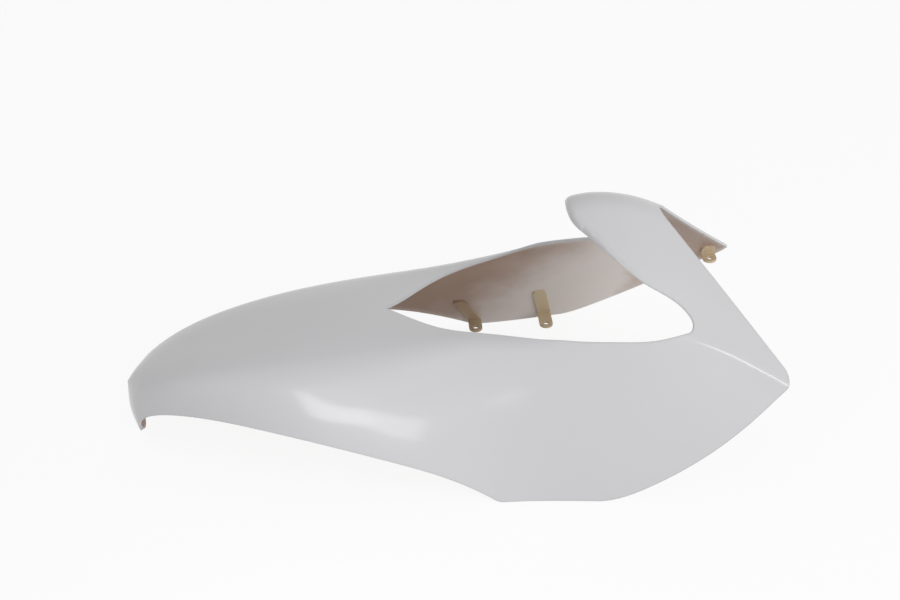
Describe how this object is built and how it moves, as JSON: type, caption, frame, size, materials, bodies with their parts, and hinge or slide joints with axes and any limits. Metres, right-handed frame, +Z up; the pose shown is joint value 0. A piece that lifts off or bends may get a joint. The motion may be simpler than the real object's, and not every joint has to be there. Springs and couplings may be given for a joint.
{
  "type": "motorcycle fairing",
  "caption": "One-piece moulded body fairing for a motorcycle: a rounded hood with a beak, flared side wings, a drop-shaped opening and a bridge over it, with bolt tabs inside.",
  "frame": {"origin": "on the ground, midway along the length, on the plane of symmetry", "axes": "+X from the nose to the tail, +Y to the far wing, +Z up"},
  "size_m": [0.6913, 0.355, 0.2602],
  "materials": {
    "gloss_white": "gloss white outside, raw moulded plastic inside"
  },
  "bodies": {
    "root": {"fairing_shell": "gloss_white"}
  },
  "joints": []
}
